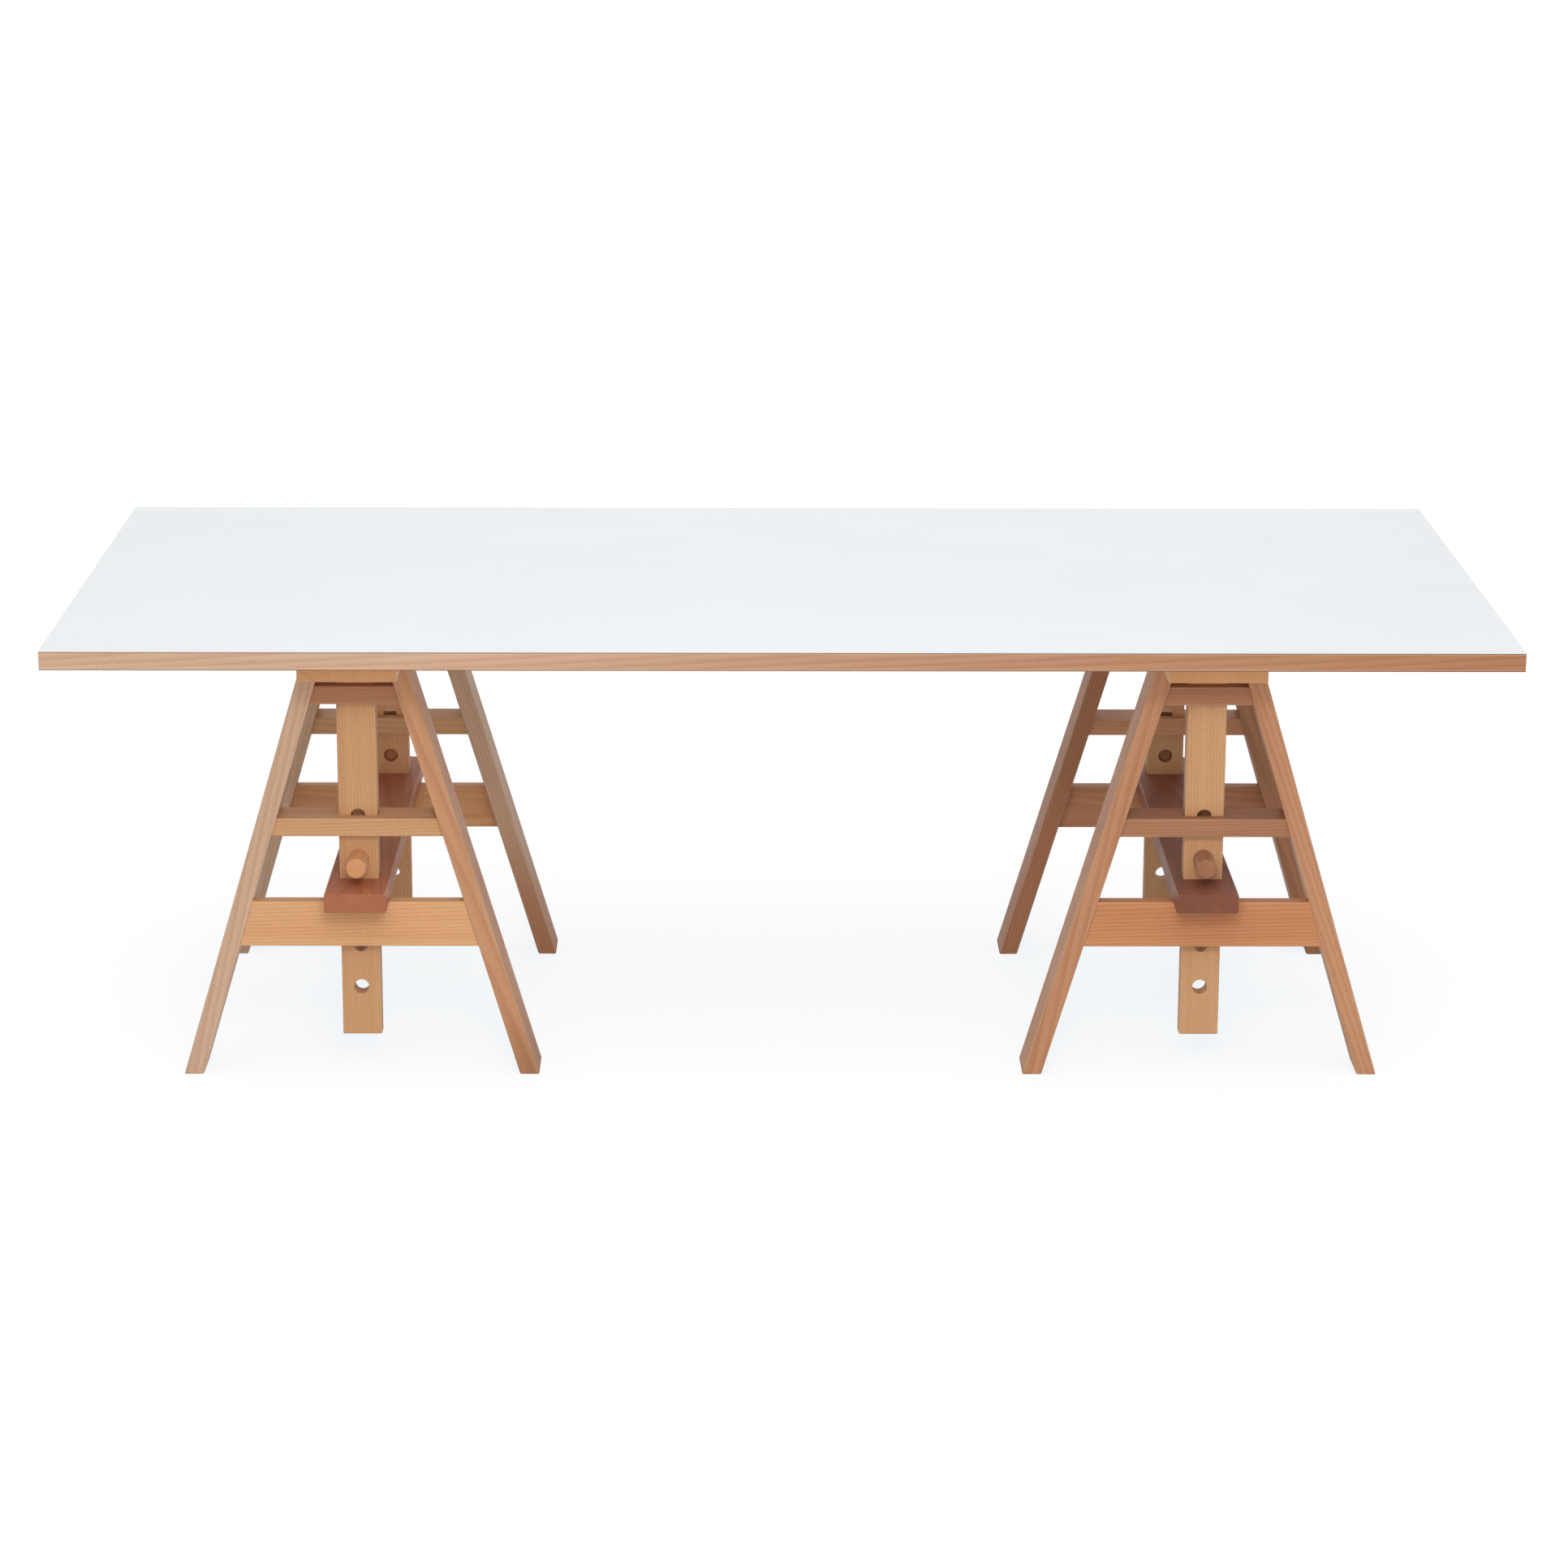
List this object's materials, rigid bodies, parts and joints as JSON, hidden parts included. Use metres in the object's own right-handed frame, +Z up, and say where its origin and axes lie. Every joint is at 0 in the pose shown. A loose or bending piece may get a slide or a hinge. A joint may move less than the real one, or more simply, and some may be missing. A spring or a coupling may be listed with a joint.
{
  "type": "trestle table",
  "caption": "Long work table: a loose white laminated top with wood edges on two beech trestles whose posts slide in the frames and are pegged at a chosen height.",
  "frame": {"origin": "on the floor, under the middle of the top", "axes": "+X along the table to the right, +Y from the front to the back, +Z up"},
  "size_m": [2, 1, 0.652],
  "materials": {
    "beech": "planed, clear matt varnish",
    "white_laminate": "smooth satin laminate",
    "core_board": "raw, hidden inside the top"
  },
  "bodies": {
    "left_trestle": {"left_front_leg_inner": "beech", "left_front_leg_outer": "beech", "left_front_low_rail": "beech", "left_front_mid_rail": "beech", "left_front_top_rail": "beech", "left_rear_leg_inner": "beech", "left_rear_leg_outer": "beech", "left_rear_low_rail": "beech", "left_rear_mid_rail": "beech", "left_rear_top_rail": "beech", "left_stretcher": "beech", "left_stretcher_dowels": "beech"},
    "right_trestle": {"right_front_leg_inner": "beech", "right_front_leg_outer": "beech", "right_front_low_rail": "beech", "right_front_mid_rail": "beech", "right_front_top_rail": "beech", "right_rear_leg_inner": "beech", "right_rear_leg_outer": "beech", "right_rear_low_rail": "beech", "right_rear_mid_rail": "beech", "right_rear_top_rail": "beech", "right_stretcher": "beech", "right_stretcher_dowels": "beech"},
    "left_lift": {"left_front_post": "beech", "left_rear_post": "beech", "left_beam": "beech"},
    "right_lift": {"right_front_post": "beech", "right_rear_post": "beech", "right_beam": "beech"},
    "left_front_peg": {"left_front_peg": "beech"},
    "left_rear_peg": {"left_rear_peg": "beech"},
    "right_front_peg": {"right_front_peg": "beech"},
    "right_rear_peg": {"right_rear_peg": "beech"},
    "table_top": {"top_core": "core_board", "top_laminate": "white_laminate", "top_backing": "white_laminate", "top_lipping_front": "beech", "top_lipping_rear": "beech", "top_lipping_left": "beech", "top_lipping_right": "beech"}
  },
  "joints": [
    {"name": "left_height", "type": "slide", "parent": "left_trestle", "child": "left_lift", "axis": [0, 0, 1], "range_m": [0, 0.173]},
    {"name": "right_height", "type": "slide", "parent": "right_trestle", "child": "right_lift", "axis": [0, 0, 1], "range_m": [0, 0.173]},
    {"name": "trestle_spacing", "type": "slide", "parent": "left_trestle", "child": "right_trestle", "axis": [1, 0, 0], "range_m": [-0.3, 0.15]},
    {"name": "top_lift_off", "type": "slide", "parent": "left_lift", "child": "table_top", "axis": [0, 0, 1], "range_m": [0, 0.3]},
    {"name": "left_front_peg_draw", "type": "slide", "parent": "left_lift", "child": "left_front_peg", "axis": [0, -1, 0], "range_m": [0, 0.26]},
    {"name": "left_rear_peg_draw", "type": "slide", "parent": "left_lift", "child": "left_rear_peg", "axis": [0, 1, 0], "range_m": [0, 0.26]},
    {"name": "right_front_peg_draw", "type": "slide", "parent": "right_lift", "child": "right_front_peg", "axis": [0, -1, 0], "range_m": [0, 0.26]},
    {"name": "right_rear_peg_draw", "type": "slide", "parent": "right_lift", "child": "right_rear_peg", "axis": [0, 1, 0], "range_m": [0, 0.26]}
  ],
  "couplings": [
    {"joint": "right_height", "follows": "left_height", "ratio": 1},
    {"joint": "left_front_peg_draw", "follows": "left_height", "ratio": 1.5},
    {"joint": "left_rear_peg_draw", "follows": "left_height", "ratio": 1.5},
    {"joint": "right_front_peg_draw", "follows": "left_height", "ratio": 1.5},
    {"joint": "right_rear_peg_draw", "follows": "left_height", "ratio": 1.5}
  ]
}
